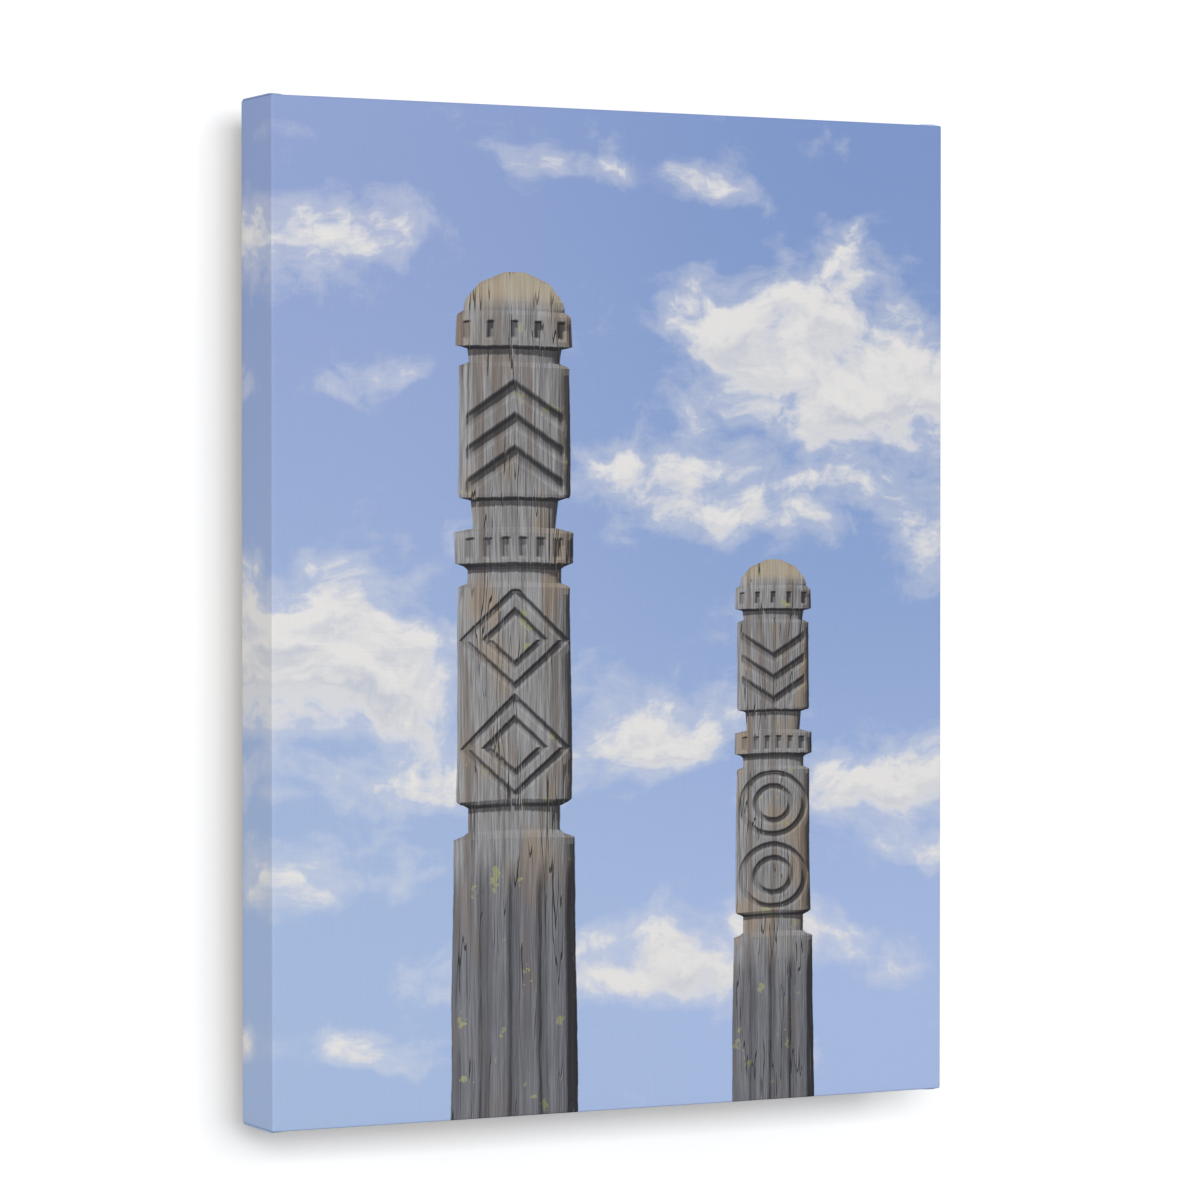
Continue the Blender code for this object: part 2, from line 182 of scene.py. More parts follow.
def crease_radius(rise):
    return (FOLD_HEIGHT - FOLD_GAP) * rise / 2


def tuck_height(way, across):
    """How far the two layers tucked in at the corner lift the outer one."""
    line = fold_line(way)
    return FOLD_HEIGHT * fold_rise(way) * eased(across, line - FOLD_SLOPE, line)


def ripple(wave, along, second, third, rest=0.0):
    """A ripple's height at a place along an edge."""
    scale, height = wave
    return (rest + noise.noise(Vector((along * scale, second, third)))) * height


def flap_height(along, run, staples, seed):
    """How far the flap stands off the bar between its staples, and is pressed down under them.
    along is the place along the print's edge, and run the way in from the back edge."""
    share = run / FLAP_RUN
    near = min(math.hypot(max(abs(along - staple) - STAPLE_REACH, 0.0), run - STAPLE_RUN)
               for staple in staples)
    pressed = math.exp(-(near / PRESSED_REACH) ** 2)
    pucker = ripple(PUCKER, along, share * 1.4, seed)
    pucker *= math.exp(-(near / STAPLE_PULL_REACH) ** 2) * (1.15 - share)
    curl = ripple(CURL, along, seed, 5.0, rest=0.5) * share ** 3
    loose = FLAP_LIFT + ripple(SWELL, along, seed, 0.0) + pucker + max(curl, 0.0)
    return between(max(loose, LEAST_LIFT), PRESSED_HEIGHT, pressed) * eased(run, 0.0, LIFT_START)


def raw_edge_shift(along, staples, seed):
    """How far the raw edge wanders: cut by hand, and drawn outwards at the staples."""
    nearest = min(abs(along - staple) for staple in staples)
    drawn = DRAWN_OUT * math.exp(-(nearest / STAPLE_PULL_REACH) ** 2)
    return ripple(WANDER, along, seed, 1.0) + ripple(SNIPS, along, seed, 2.0) - drawn


def middle_of(node):
    low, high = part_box(node)
    return (Vector(low) + Vector(high)) / 2


def staple_places(edge, count):
    return [middle_of(f"staple_{edge}_{number}") for number in range(1, count + 1)]


# Where the staples are along each edge, from its middle
STAPLES = {edge: [place.x for place in staple_places(edge, 5)] for edge in ("top", "bottom")}
for upright_edge in ("left", "right"):
    STAPLES[upright_edge] = [place.z - PRINT_MIDDLE for place in staple_places(upright_edge, 6)]
STAPLE_RUN = BEND_Z + PRINT_MIDDLE - middle_of("staple_top_1").z
EDGE_SEEDS = {"top": 3.1, "bottom": 8.7, "left": 14.3, "right": 21.9}


def even(low, high, steps):
    return [between(low, high, step / steps) for step in range(steps + 1)]


def mesh_lines(end, places, fine_from=math.inf):
    """Places of mesh lines from 0 to end: close together round the given places and beyond
    fine_from, and no further apart than the wide pitch elsewhere."""
    marks = {0.0, end, min(fine_from, end)}
    for place in places:
        for offset in STAPLE_MARKS:
            if 0.0 < place + offset < end - LEAST_PITCH:
                marks.add(round(place + offset, 6))
    marks = sorted(marks)
    lines = [0.0]
    for low, high in zip(marks, marks[1:]):
        pitch = CORNER_PITCH if low >= fine_from else WIDE_PITCH
        steps = max(1, math.ceil((high - low) / pitch - STEP_SLACK))
        lines += even(low, high, steps)[1:]
    return lines


def side_ways():
    """The way round the bar of each row on a side, closer together by the front corner."""
    return [BEND_RUN + SIDE_RUN * (row / SIDE_ROWS) ** ROW_GRADING for row in range(SIDE_ROWS + 1)]


class SheetMesh:
    """Grids of points, each with its place on the flat cloth, measured from the cloth's middle."""

    def __init__(self):
        self.points = []
        self.cloth = []
        self.faces = []

    def add(self, rows, flipped):
        first = len(self.points)
        width = len(rows[0])
        for row in rows:
            for point, cloth in row:
                self.points.append(point)
                self.cloth.append(cloth)
        for row in range(len(rows) - 1):
            for column in range(width - 1):
                corner = first + row * width + column
                face = (corner, corner + 1, corner + width + 1, corner + width)
                self.faces.append(face[::-1] if flipped else face)


def front_sag(x, z):
    """How far the taut front lies behind its edges' plane: a little, and unevenly."""
    inset = min(BEND_X - abs(x), BEND_Z - abs(z))
    waves = 0.5 + 0.5 * noise.noise(Vector((x * SAG_WAVES, z * SAG_WAVES, 4.0)))
    return SAG * waves * eased(inset, *SAG_INSETS)


def add_quarter(sheet, side, end):
    """One quarter of the sheet: side is 1 on the right, or else -1, and end 1 at the top, or else
    -1. Inside, x and z are measured outwards from the print's middle."""
    across_edge = "top" if end > 0 else "bottom"
    up_edge = "right" if side > 0 else "left"
    columns = mesh_lines(BEND_X, [side * x for x in STAPLES[across_edge]],
                         HALF_WIDTH - CORNER_REACH)
    rows = mesh_lines(BEND_Z, [end * z for z in STAPLES[up_edge]])
    inside_out = side * end < 0

    def spot(x, back, z, cloth_x, cloth_z):
        point = Vector((side * x, PRINT_FRONT + back, PRINT_MIDDLE + end * z))
        return point, (side * cloth_x, end * cloth_z)

    def add(grid, flipped=False):
        sheet.add(grid, flipped != inside_out)

    def flap_way(share, along, edge):
        """The way round the bar at this share of the flap, whose raw edge wanders."""
        shift = raw_edge_shift(along, STAPLES[edge], EDGE_SEEDS[edge])
        return FLAP_WAY + share * (FLAP_RUN + shift)

    def flap_lift(way, along, edge):
        run = way - FLAP_WAY
        if run <= 0:
            return 0.0
        return flap_height(along, run, STAPLES[edge], EDGE_SEEDS[edge])

    def side_spot(z, way):
        """A point of the left or right strip, which lies under the other one at the corner."""
        lift = flap_lift(way, end * z, up_edge)
        lift *= eased(BEND_Z - FLAP_RUN - z, *UNDER_FLAP)
        out, back = round_the_bar(way, lift)
        return spot(BEND_X + out, back, z, BEND_X + way, z)

    def tucked_spot(x, way, height, cloth_x):
        lift = height + flap_lift(way, side * x, across_edge)
        out, back = round_the_bar(way, lift)
        return spot(x, back, BEND_Z + out, cloth_x, BEND_Z + way)

    def end_spot(x, way):
        """A point of the top or bottom strip, whose end is the outer layer of the corner fold."""
        return tucked_spot(x, way, tuck_height(way, x), x)

    # The front
    add([[spot(x, front_sag(side * x, end * z), z, x, z) for x in columns] for z in rows])

    # The strips round the bars, from the front bend to the raw edge
    bend = even(0.0, BEND_RUN, BEND_STEPS)
    fixed_ways = bend + side_ways()[1:] + even(BACK_BEND_WAY, FLAP_WAY, BEND_STEPS)[1:]
    shares = even(0.0, 1.0, FLAP_ROWS)[1:]
    add([[side_spot(z, way) for way in fixed_ways]
         + [side_spot(z, flap_way(share, end * z, up_edge)) for share in shares] for z in rows])
    add([[end_spot(x, way) for x in columns] for way in bend])

    def outer_row(way_at):
        row = [end_spot(x, way_at(x)) for x in columns[:-1]]
        way = way_at(BEND_X)
        return row + [end_spot(fold_end(way), way)]

    def fold_row(way):
        """The outer layer's turn at the crease, and the tucked layer back to the diagonal."""
        rise = fold_rise(way)
        radius = crease_radius(rise)
        turned = fold_end(way)
        row = []
        for step in range(CREASE_STEPS + 1):
            turn = math.pi * step / CREASE_STEPS
            height = FOLD_GAP * rise + radius * (1 + math.cos(turn))
            row.append(tucked_spot(turned + radius * math.sin(turn), way, height,
                                   turned + radius * turn))
        for share in even(0.0, 1.0, LAYER_COLUMNS)[1:]:
            x = between(turned, fold_line(way), share)
            row.append(tucked_spot(x, way, FOLD_GAP * rise, turned + radius * math.pi + turned - x))
        return row

    upper_ways = side_ways() + even(BACK_BEND_WAY, FLAP_WAY, BEND_STEPS)[1:]
    grid = [outer_row(lambda x, way=way: way) for way in upper_ways]
    grid += [outer_row(lambda x, share=share: flap_way(share, side * x, across_edge))
             for share in shares]
    add(grid)
    flap_end_ways = [flap_way(share, side * BEND_X, across_edge) for share in shares]
    add([fold_row(way) for way in upper_ways + flap_end_ways])

    # The side strip's end, which turns over the corner and lies under the fold up to the diagonal
    quarter_turn = even(0.0, math.pi / 2, BEND_STEPS)
    corner_rows = []
    for way in side_ways():
        back = EDGE_RADIUS + way - BEND_RUN
        row = [spot(BEND_X + EDGE_RADIUS * math.cos(turn), back,
                    BEND_Z + EDGE_RADIUS * math.sin(turn),
                    BEND_X + way, BEND_Z + EDGE_RADIUS * turn) for turn in quarter_turn]
        for share in even(0.0, 1.0, LAYER_COLUMNS)[1:]:
            x = between(BEND_X, fold_line(way), share)
            row.append(spot(x, back, HALF_HEIGHT, BEND_X + way, BEND_Z + BEND_RUN + BEND_X - x))
        corner_rows.append(row)
    add(corner_rows, flipped=True)

    # The rounded corners, front and back
    for first_way, middle, sign in ((0.0, EDGE_RADIUS, -1),
                                    (BACK_BEND_WAY, PRINT_DEPTH - EDGE_RADIUS, 1)):
        ball = []
        for share in even(0.0, 1.0, BEND_STEPS):
            lean = math.pi / 2 * (share if sign < 0 else 1 - share)
            back = middle + sign * EDGE_RADIUS * math.cos(lean)
            reach = EDGE_RADIUS * math.sin(lean)
            way = first_way + BEND_RUN * share
            spread = BEND_RUN * (share if sign < 0 else 1 - share)
            row = []
            for turn in quarter_turn:
                cloth_x = way - spread * (1 - math.cos(turn)) if sign < 0 else way
                row.append(spot(BEND_X + reach * math.cos(turn), back,
                                BEND_Z + reach * math.sin(turn),
                                BEND_X + cloth_x, BEND_Z + spread * math.sin(turn)))
            ball.append(row)
        add(ball, flipped=True)


def mirrored(place, half):
    """The picture's place for a place on the cloth: past an edge the print runs back on itself."""
    return place if abs(place) <= half else math.copysign(2 * half - abs(place), place)


PICTURE_HALF_X = BEND_X + BEND_RUN / 2
PICTURE_HALF_Z = BEND_Z + BEND_RUN / 2


def picture_place(cloth):
    """Metres from the printed picture's lower left corner."""
    return (PICTURE_HALF_X + mirrored(cloth[0], PICTURE_HALF_X),
            PICTURE_HALF_Z + mirrored(cloth[1], PICTURE_HALF_Z))


# The bake's map: the front at the largest scale, the sides and flaps narrower beside it, and the
# bare back of the cloth in the strip that is left. The flap's raw edge wanders past its mean place.
FRONT_SCALE = 2.06
MARGIN_SCALE = 1.3
BACK_SCALE = 0.43
MAP_GAP = 0.012
RAW_EDGE_ROOM = 0.003
CLOTH_HALF_X = BEND_X + WHOLE_WAY + RAW_EDGE_ROOM
CLOTH_HALF_Z = BEND_Z + WHOLE_WAY + RAW_EDGE_ROOM


def map_distance(place, half):
    """How far a place on the cloth is from the middle of the bake's map."""
    inner = min(abs(place), half)
    outer = max(abs(place) - half, 0.0)
    return math.copysign(inner * FRONT_SCALE + outer * MARGIN_SCALE, place)


def bake_place(cloth, bare):
    """A place in the bake's map for a place on the cloth's printed or bare face."""
    printed_half = map_distance(CLOTH_HALF_X, PICTURE_HALF_X)
    if bare:
        return (2 * MAP_GAP + 2 * printed_half + (cloth[0] + CLOTH_HALF_X) * BACK_SCALE,
                MAP_GAP + (cloth[1] + CLOTH_HALF_Z) * BACK_SCALE)
    return (MAP_GAP + printed_half + map_distance(cloth[0], PICTURE_HALF_X),
            0.5 + map_distance(cloth[1], PICTURE_HALF_Z))


def link(name, data):
    thing = bpy.data.objects.new(name, data)
    bpy.context.scene.collection.objects.link(thing)
    return thing


def mesh_piece(name, points, faces):
    mesh = bpy.data.meshes.new(name)
    mesh.from_pydata(points, [], faces)
    return link(name, mesh)


def merge_points(mesh):
    work = bmesh.new()
    work.from_mesh(mesh)
    bmesh.ops.remove_doubles(work, verts=work.verts, dist=MERGE_DISTANCE)
    work.to_mesh(mesh)
    work.free()


# The canvas's materials are for open sky, posts and bare cloth, in this order
POSTS_SLOT = 1
BARE_SLOT = 2
THINNEST_SHARE = 0.02


def thickness_share(point):
    """1 for the whole sheet, but less where a corner fold starts, whose three layers lie closer
    together there than the cloth is thick."""
    from_front = point.y - PRINT_FRONT
    at_end = abs(point.z - PRINT_MIDDLE) > BEND_Z + EDGE_RADIUS / 2
    if not at_end or abs(point.x) < BEND_X - FOLD_SLOPE or from_front > EDGE_RADIUS + FOLD_START:
        return 1.0
    return max(fold_rise(from_front - EDGE_RADIUS + BEND_RUN), THINNEST_SHARE)


def make_canvas(materials):
    """The whole sheet, with materials for its sky, its posts and its bare side."""
    sheet = SheetMesh()
    for side in (1, -1):
        for end in (1, -1):
            add_quarter(sheet, side, end)
    piece = mesh_piece("printed_canvas", sheet.points, sheet.faces)
    mesh = piece.data
    cloth_map = mesh.uv_layers.new(name="cloth")
    for loop in mesh.loops:
        cloth_map.data[loop.index].uv = sheet.cloth[loop.vertex_index]
    merge_points(mesh)
    for material in materials:
        mesh.materials.append(material)
    solid = piece.modifiers.new("thickness", "SOLIDIFY")
    thickness = piece.vertex_groups.new(name="thickness")
    for vertex in mesh.vertices:
        thickness.add([vertex.index], thickness_share(vertex.co), "REPLACE")
    solid.vertex_group = thickness.name
    solid.thickness = SHEET_THICKNESS
    solid.offset = -1
    solid.material_offset = BARE_SLOT
    solid.material_offset_rim = BARE_SLOT
    bpy.context.view_layer.objects.active = piece
    bpy.ops.object.modifier_apply(modifier=solid.name)
    finish_canvas_mesh(piece.data)
    return piece


def finish_canvas_mesh(mesh):
    """Smooth faces with a sharp cut edge, and the maps of the picture and of the bake."""
    mesh.shade_smooth()
    work = bmesh.new()
    work.from_mesh(mesh)
    for edge in work.edges:
        if len({face.material_index for face in edge.link_faces}) > 1:
            edge.smooth = False
    work.to_mesh(mesh)
    work.free()
    cloth_map = mesh.uv_layers["cloth"]
    places = [tuple(corner.uv) for corner in cloth_map.data]
    picture_map = mesh.uv_layers.new(name="picture")
    bake_map = mesh.uv_layers.new(name="OFBake")
    for face in mesh.polygons:
        bare = face.material_index == BARE_SLOT
        for corner in face.loop_indices:
            picture_map.data[corner].uv = picture_place(places[corner])
            bake_map.data[corner].uv = bake_place(places[corner], bare)
        pictured = [picture_map.data[corner].uv / (2 * PICTURE_HALF_X)
                    for corner in face.loop_indices]
        if not bare and any(shows_post(place.x, place.y) for place in pictured):
            face.material_index = POSTS_SLOT


# Yarn ends along the raw edge, whose row stops short of the edge's ends by an inset
YARN_SIDES = 3
YARN_SPACING = 0.0011
YARN_RADIUS = 0.00012
YARN_ROOT = 0.0003
YARN_SHORTEST = 0.0003
YARN_LONGER = 0.0024
YARNS_MISSING = 0.12
LEVEL_INSET = 0.0004
UPRIGHT_INSET = 0.002

# The longer threads, which curl. Their bends are in radians a metre.
THREADS_AN_EDGE = 4
THREAD_LENGTH = (0.006, 0.017)
THREAD_STEPS = 26
THREAD_BEND = 420
THREAD_BEND_CHANGE = 160
THREAD_REACH = 0.012
THREAD_ARCH = 0.0004
THREAD_WAVE = 0.0002


def add_tube(points, radii, vertices, faces):
    """A thin three-sided tube through the points, closed at both ends."""
    first = len(vertices)
    for index, point in enumerate(points):
        ahead = points[min(index + 1, len(points) - 1)] - points[max(index - 1, 0)]
        across = ahead.cross(Vector((0.0, 1.0, 0.001))).normalized()
        up = ahead.cross(across).normalized()
        for side in range(YARN_SIDES):
            turn = 2 * math.pi * side / YARN_SIDES
            vertices.append(point + (across * math.cos(turn) + up * math.sin(turn)) * radii[index])
    for ring in range(len(points) - 1):
        for side in range(YARN_SIDES):
            low = first + ring * YARN_SIDES + side
            low_next = first + ring * YARN_SIDES + (side + 1) % YARN_SIDES
            faces.append((low, low_next, low_next + YARN_SIDES, low + YARN_SIDES))
    last = first + (len(points) - 1) * YARN_SIDES
    faces.append(tuple(last + side for side in range(YARN_SIDES)))
    faces.append(tuple(first + side for side in reversed(range(YARN_SIDES))))


def raw_edges():
    """For each edge of the print: its name, half the length of its flap's raw edge, and a function
    that gives the world's place for a place along it, a way round the bar and a height."""
    for edge, level, sign in (("top", True, 1), ("bottom", True, -1),
                              ("left", False, -1), ("right", False, 1)):
        def at(along, way, height, level=level, sign=sign):
            out, back = round_the_bar(way, height)
            x, z = (along, sign * (BEND_Z + out)) if level else (sign * (BEND_X + out), along)
            return Vector((x, PRINT_FRONT + back, PRINT_MIDDLE + z))

        half = fold_end(WHOLE_WAY) - LEVEL_INSET if level else BEND_Z - FLAP_RUN - UPRIGHT_INSET
        yield edge, half, at


def edge_place(edge, along):
    """The way round the bar to the raw edge here, and the height of the sheet's middle there."""
    staples, seed = STAPLES[edge], EDGE_SEEDS[edge]
    run = FLAP_RUN + raw_edge_shift(along, staples, seed)
    height = flap_height(along, run, staples, seed)
    if edge in ("top", "bottom"):
        height += tuck_height(FLAP_WAY + run, abs(along))
    return FLAP_WAY + run, height - SHEET_THICKNESS / 2


def make_yarn_ends(material):
    draw = random.Random(41)
    vertices = []
    faces = []
    for edge, half, at in raw_edges():
        count = round(2 * half / YARN_SPACING)
        for number in range(count):
            along = -half + (number + draw.random()) * YARN_SPACING
            if draw.random() < YARNS_MISSING:
                continue
            way, height = edge_place(edge, along)
            reach = YARN_SHORTEST + draw.random() ** 3 * YARN_LONGER
            lean = draw.gauss(0, 0.28)
            rise = draw.uniform(-0.1, 0.35)
            points = []
            for share in (0.0, 0.35, 0.7, 1.0):
                gone = reach * share
                points.append(at(along + lean * gone * (0.4 + share), way - YARN_ROOT + gone,
                                 height + rise * gone * share))
            radius = YARN_RADIUS * draw.uniform(0.6, 1.1)
            add_tube(points, [radius, radius, radius * 0.8, radius * 0.35], vertices, faces)
        for _ in range(THREADS_AN_EDGE):
            add_loose_thread(edge, half, at, draw, vertices, faces)
    piece = mesh_piece("yarn_ends", vertices, faces)
    piece.data.shade_smooth()
    piece.data.materials.append(material)
    return piece


def add_loose_thread(edge, half, at, draw, vertices, faces):
    """A longer thread, pulled from the weave, that curls over the bar beside the raw edge."""
    along = draw.uniform(-0.9, 0.9) * half
    way, height = edge_place(edge, along)
    heading = draw.uniform(-1.2, 1.2)
    bend = draw.uniform(-1, 1) * THREAD_BEND
    length = draw.uniform(*THREAD_LENGTH)
    pace = length / THREAD_STEPS
    points = []
    for step in range(THREAD_STEPS + 1):
        share = step / THREAD_STEPS
        above = height + THREAD_ARCH * math.sin(share * math.pi)
        above += THREAD_WAVE * math.sin(share * 9)
        points.append(at(along, way - YARN_ROOT, above))
        along += math.sin(heading) * pace
        way = min(way + math.cos(heading) * pace, WHOLE_WAY + THREAD_REACH)
        bend += draw.gauss(0, THREAD_BEND_CHANGE)
        heading += bend * pace
    add_tube(points, [YARN_RADIUS * 0.8] * len(points), vertices, faces)


# Shader nodes, written as arithmetic

class Field:
    """A value in a node tree. Arithmetic on it adds Math nodes to that tree."""

    def __init__(self, socket):
        self.socket = socket

    def __add__(self, other):
        return maths("ADD", self, other)

    def __sub__(self, other):
        return maths("SUBTRACT", self, other)

    def __mul__(self, other):
        return maths("MULTIPLY", self, other)

    def __truediv__(self, other):
        return maths("DIVIDE", self, other)

    def __radd__(self, other):
        return maths("ADD", other, self)

    def __rsub__(self, other):
        return maths("SUBTRACT", other, self)

    def __abs__(self):
        return maths("ABSOLUTE", self)


def feed(socket, value):
    if isinstance(value, Field):
        socket.id_data.links.new(value.socket, socket)
    else:
        socket.default_value = value


def tree_of(values):
    return next(value.socket.id_data for value in values if isinstance(value, Field))


def fed_node(kind, *values):
    """A new node with the values on its sockets, in their order."""
    node = tree_of(values).nodes.new(f"ShaderNode{kind}")
    for socket, value in zip(node.inputs, values):
        feed(socket, value)
    return node


def maths(operation, *values):
    node = fed_node("Math", *values)
    node.operation = operation
    return Field(node.outputs[0])


def largest(*values):
    return maths("MAXIMUM", *values)


def smooth(value, low, high):
    """What eased gives, in nodes."""
    node = fed_node("MapRange", value, low, high)
    node.interpolation_type = "SMOOTHSTEP"
    return Field(node.outputs["Result"])


def noise_of(places, detail=2.0, roughness=0.5, scale=1.0, output="Fac"):
    """Noise at two or three coordinates."""
    node = fed_node("TexNoise", vector(*places))
    node.noise_dimensions = f"{len(places)}D"
    node.inputs["Scale"].default_value = scale
    node.inputs["Detail"].default_value = detail
    node.inputs["Roughness"].default_value = roughness
    return Field(node.outputs[output])


def vector(*values):
    return Field(fed_node("CombineXYZ", *values).outputs[0])


def parts(field):
    return [Field(socket) for socket in fed_node("SeparateXYZ", field).outputs]


def mixed(share, low, high):
    node = tree_of((share, low, high)).nodes.new("ShaderNodeMix")
    node.data_type = "RGBA"
    feed(node.inputs[0], share)
    feed(node.inputs[6], low)
    feed(node.inputs[7], high)
    return Field(node.outputs[2])


def node_group(name, inputs, outputs, build):
    """A node group whose body is build(*inputs), which returns the output fields."""
    tree = bpy.data.node_groups.new(name, "ShaderNodeTree")
    for label in inputs:
        tree.interface.new_socket(label, in_out="INPUT", socket_type="NodeSocketFloat")
    for label in outputs:
        tree.interface.new_socket(label, in_out="OUTPUT", socket_type="NodeSocketFloat")
    start = tree.nodes.new("NodeGroupInput")
    end = tree.nodes.new("NodeGroupOutput")
    made = build(*[Field(start.outputs[label]) for label in inputs])
    for label, field in zip(outputs, made):
        tree.links.new(field.socket, end.inputs[label])
    return tree


def from_group(group, *values):
    node = tree_of(values).nodes.new("ShaderNodeGroup")
    node.node_tree = group
    for socket, value in zip(node.inputs, values):
        feed(socket, value)
    return [Field(socket) for socket in node.outputs]


class Finish:
    """A material with one Principled shader."""

    def __init__(self, name):
        self.material = bpy.data.materials.new(name)
        self.material.use_nodes = True
        self.tree = self.material.node_tree
        self.shader = self.tree.nodes["Principled BSDF"]

    def set(self, **values):
        for label, value in values.items():
            feed(self.shader.inputs[label.replace("_", " ")], value)

    def cloth_place(self, name):
        """The two coordinates of a UV map, in metres."""
        node = self.tree.nodes.new("ShaderNodeUVMap")
        node.uv_map = name
        return parts(Field(node.outputs[0]))[:2]

    def world_place(self):
        node = self.tree.nodes.new("ShaderNodeTexCoord")
        return parts(Field(node.outputs["Object"]))

    def bump(self, height, distance, strength):
        node = self.tree.nodes.new("ShaderNodeBump")
        node.inputs["Strength"].default_value = strength
        node.inputs["Distance"].default_value = distance
        feed(node.inputs["Height"], height)
        self.tree.links.new(node.outputs[0], self.shader.inputs["Normal"])


# The picture: an open sky with clouds, and two weathered timber posts with geometric carving.
# x and z are shares of the picture's width, from its lower left corner.

CLOUDS = (
    # middle across and up, reach across and up, weight
    (0.86, 1.00, 0.42, 0.19, 1.00),
    (0.66, 0.84, 0.30, 0.11, 0.80),
    (1.06, 0.80, 0.30, 0.12, 0.85),
    (0.02, 1.14, 0.22, 0.09, 0.80),
    (0.14, 0.98, 0.16, 0.05, 0.62),
    (0.06, 0.60, 0.40, 0.17, 1.00),
    (0.24, 0.47, 0.34, 0.10, 0.85),
    (0.00, 0.33, 0.30, 0.08, 0.75),
    (0.58, 0.52, 0.22, 0.10, 0.85),
    (0.96, 0.42, 0.34, 0.11, 0.90),
    (0.62, 0.20, 0.46, 0.08, 0.80),
    (0.10, 0.11, 0.26, 0.05, 0.68),
    (0.55, 1.24, 0.24, 0.04, 0.55),
)


def cloud_density(x, z):
    """How thick the cloud is at a drifted place, below 0 in the clear sky."""
    cover = 0.0
    for middle_x, middle_z, reach_x, reach_z, weight in CLOUDS:
        across = (x - middle_x) / reach_x
        up = (z - middle_z) / reach_z
        way = maths("SQRT", across * across + up * up)
        cover = largest(smooth(way, 1.30, 0.15) * weight, cover)
    billow = noise_of((x, z * 1.5), 7.0, 0.60, scale=6.5)
    return [cover * 0.95 + (billow - 0.5) * 2.1 - 0.46]


def sky(x, z, density):
    """Blue that pales towards the bottom and the left, with clouds lit from above."""
    left = mixed(smooth(z, 0.1, 1.3), ink(168, 190, 227), ink(146, 166, 213))
    right = mixed(smooth(z, 0.1, 0.9), ink(170, 190, 231), ink(136, 163, 212))
    right = mixed(smooth(z, 0.8, 1.35), right, ink(126, 153, 206))
    blue = mixed(smooth(x, 0.0, 0.9), left, right)
    drift_x, drift_z, _ = parts(noise_of((x, z), 4.0, scale=4.0, output="Color"))
    at_x = x + (drift_x - 0.5) * 0.16
    at_z = z + (drift_z - 0.5) * 0.09
    here = from_group(density, at_x, at_z)[0]
    above = from_group(density, at_x - 0.010, at_z + 0.024)[0]
    lit = smooth(here - above, -0.42, 0.30)
    thick = smooth(here, 0.15, 0.8)
    body = mixed(largest(lit, 1.0 - thick), ink(196, 201, 213), ink(235, 233, 231))
    veil = smooth(here, -0.25, 0.25) * 0.35
    return mixed(largest(smooth(here, 0.0, 0.45) * 0.97, veil), blue, body)


# The posts. across and up are in half widths of a post's shaft, from its middle and its top.

POSTS = (
    # middle, top and half the shaft's width, as shares of the picture's width
    (0.345, 1.115, 0.083),
    (0.735, 0.735, 0.057),
)

OUTLINE = (
    # up from the top, half width
    (0.00, 0.20),
    (-0.16, 0.62),
    (-0.42, 0.86),
    (-0.55, 0.90),
    (-0.62, 0.90),
    (-0.66, 1.02),
    (-1.16, 1.04),
    (-1.20, 0.84),
    (-1.42, 0.80),
    (-1.46, 0.98),
    (-3.55, 1.00),
    (-3.60, 0.78),
    (-4.05, 0.74),
    (-4.10, 1.06),
    (-4.62, 1.06),
    (-4.66, 0.84),
    (-4.92, 0.84),
    (-4.96, 1.00),
    (-8.40, 1.03),
    (-8.46, 0.82),
    (-8.90, 0.82),
    (-8.95, 1.08),
    (-14.0, 1.14),
)
OUTLINE_FOOT = OUTLINE[-1][0]
OUTLINE_PANEL_TOP = -4.96
PANEL_PATTERN_PITCH = 1.72
BAND_EDGE = 0.05
RAMP_WIDTH = 1.25


def half_width(up):
    """The post's half width at a height, by straight lines between the points of its outline."""
    node = fed_node("ValToRGB", 1.0 - up / OUTLINE_FOOT)
    ramp = node.color_ramp
    while len(ramp.elements) > 1:
        ramp.elements.remove(ramp.elements[-1])
    for index, (height, width) in enumerate(sorted(OUTLINE)):
        share = 1 - height / OUTLINE_FOOT
        element = ramp.elements[0] if index == 0 else ramp.elements.new(share)
        element.position = share
        element.color = [width / RAMP_WIDTH] * 3 + [1.0]
    return Field(node.outputs[0]) * RAMP_WIDTH


def band(up, top, foot):
    """1 between two heights and 0 beyond them."""
    return smooth(up, top, top - BAND_EDGE) * smooth(up, foot, foot + BAND_EDGE)


def groove(value, middle, width):
    """1 in the middle of a groove, and 0 beyond its edges."""
    return smooth(abs(value - middle), width, width * 0.25)


def saw(value):
    return maths("FRACT", value)


def carving(across, up, far):
    """How deep the carving goes, 0 on the shaft's own surface. The further post's chevrons point
    down, and it has circles for the nearer one's lozenges."""
    side = abs(across)
    bent = up + side * (0.62 - far * 1.24)
    chevron = groove(saw(bent / 0.52), 0.5, 0.30) * smooth(side, 0.88, 0.82)
    chevron = chevron * band(bent, -1.56 - far * 0.52, -3.12 - far * 0.52)
    place = abs(saw((up - OUTLINE_PANEL_TOP) / -PANEL_PATTERN_PITCH) - 0.5) * 2.0
    lozenge = place + side * 1.02
    circle = maths("SQRT", place * place + side * side) * 1.05
    shape = lozenge * (1.0 - far) + circle * far
    rings = largest(groove(shape, 0.90, 0.12), groove(shape, 0.50, 0.12))
    rings = rings * band(up, -5.02, -8.34)
    notch = groove(saw(across * 2.4 + 0.5), 0.5, 0.22) * band(up, -0.74, -1.06)
    flute = groove(saw(across * 3.2), 0.5, 0.36) * band(up, -4.18, -4.54)
    foot_flute = groove(saw(across * 1.9 + 0.5), 0.5, 0.30) * smooth(up, -9.3, -9.9)
    depth = largest(chevron * 0.16, rings * 0.13)
    depth = largest(depth, largest(notch * 0.15, flute * 0.11))
    return largest(depth, foot_flute * 0.14)


